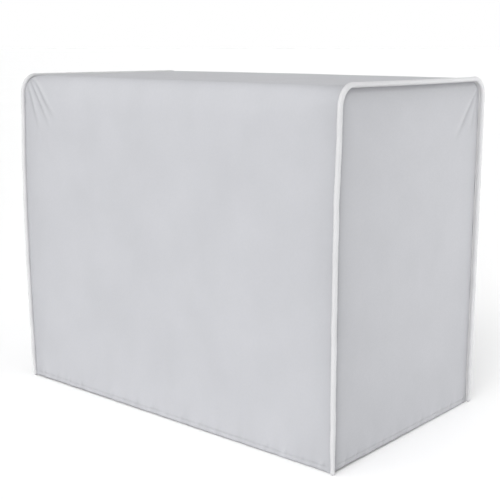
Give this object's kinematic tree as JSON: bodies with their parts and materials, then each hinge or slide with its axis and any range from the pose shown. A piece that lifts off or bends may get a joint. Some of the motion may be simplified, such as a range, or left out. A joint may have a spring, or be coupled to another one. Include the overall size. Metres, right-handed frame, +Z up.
{
  "type": "printer enclosure tent",
  "caption": "Free-standing fabric enclosure for a desktop 3D printer: a piped, open-bottomed cover that lifts off a push-fit tube frame.",
  "frame": {"origin": "centre of the footprint, on the surface that the feet stand on", "axes": "+X along the long front, +Y from front to back, +Z up"},
  "size_m": [0.6292, 0.3696, 0.5038],
  "materials": {
    "cover_cloth": "silver-grey coated polyester, satin",
    "piping_casing": "white woven bias strip",
    "piping_cord": "plain white cord",
    "seam_tape": "grey woven tape",
    "tube_coating": "white powder coat, satin",
    "corner_plastic": "pale grey moulded, fine grain",
    "foot_rubber": "grey, matt"
  },
  "bodies": {
    "base_frame": {"base_rail_front": "tube_coating", "base_rail_back": "tube_coating", "base_rail_left": "tube_coating", "base_rail_right": "tube_coating", "base_corner_front_left": "corner_plastic", "base_corner_front_right": "corner_plastic", "base_corner_back_left": "corner_plastic", "base_corner_back_right": "corner_plastic", "post_front_left": "tube_coating", "post_front_right": "tube_coating", "post_back_left": "tube_coating", "post_back_right": "tube_coating", "foot_front_left": "foot_rubber", "foot_front_right": "foot_rubber", "foot_back_left": "foot_rubber", "foot_back_right": "foot_rubber"},
    "top_frame": {"top_rail_front": "tube_coating", "top_rail_back": "tube_coating", "top_rail_left": "tube_coating", "top_rail_right": "tube_coating", "top_corner_front_left": "corner_plastic", "top_corner_front_right": "corner_plastic", "top_corner_back_left": "corner_plastic", "top_corner_back_right": "corner_plastic"},
    "cover": {"wrap_panel": "cover_cloth", "left_end_panel": "cover_cloth", "left_piping": "piping_casing", "left_piping_cord": "piping_cord", "left_seam_tape": "seam_tape", "right_end_panel": "cover_cloth", "right_piping": "piping_casing", "right_piping_cord": "piping_cord", "right_seam_tape": "seam_tape"}
  },
  "joints": [
    {"name": "top_frame_lift", "type": "slide", "parent": "base_frame", "child": "top_frame", "axis": [0, 0, 1], "range_m": [0, 0.035]},
    {"name": "cover_lift", "type": "slide", "parent": "top_frame", "child": "cover", "axis": [0, 0, 1], "range_m": [0, 0.52]}
  ]
}
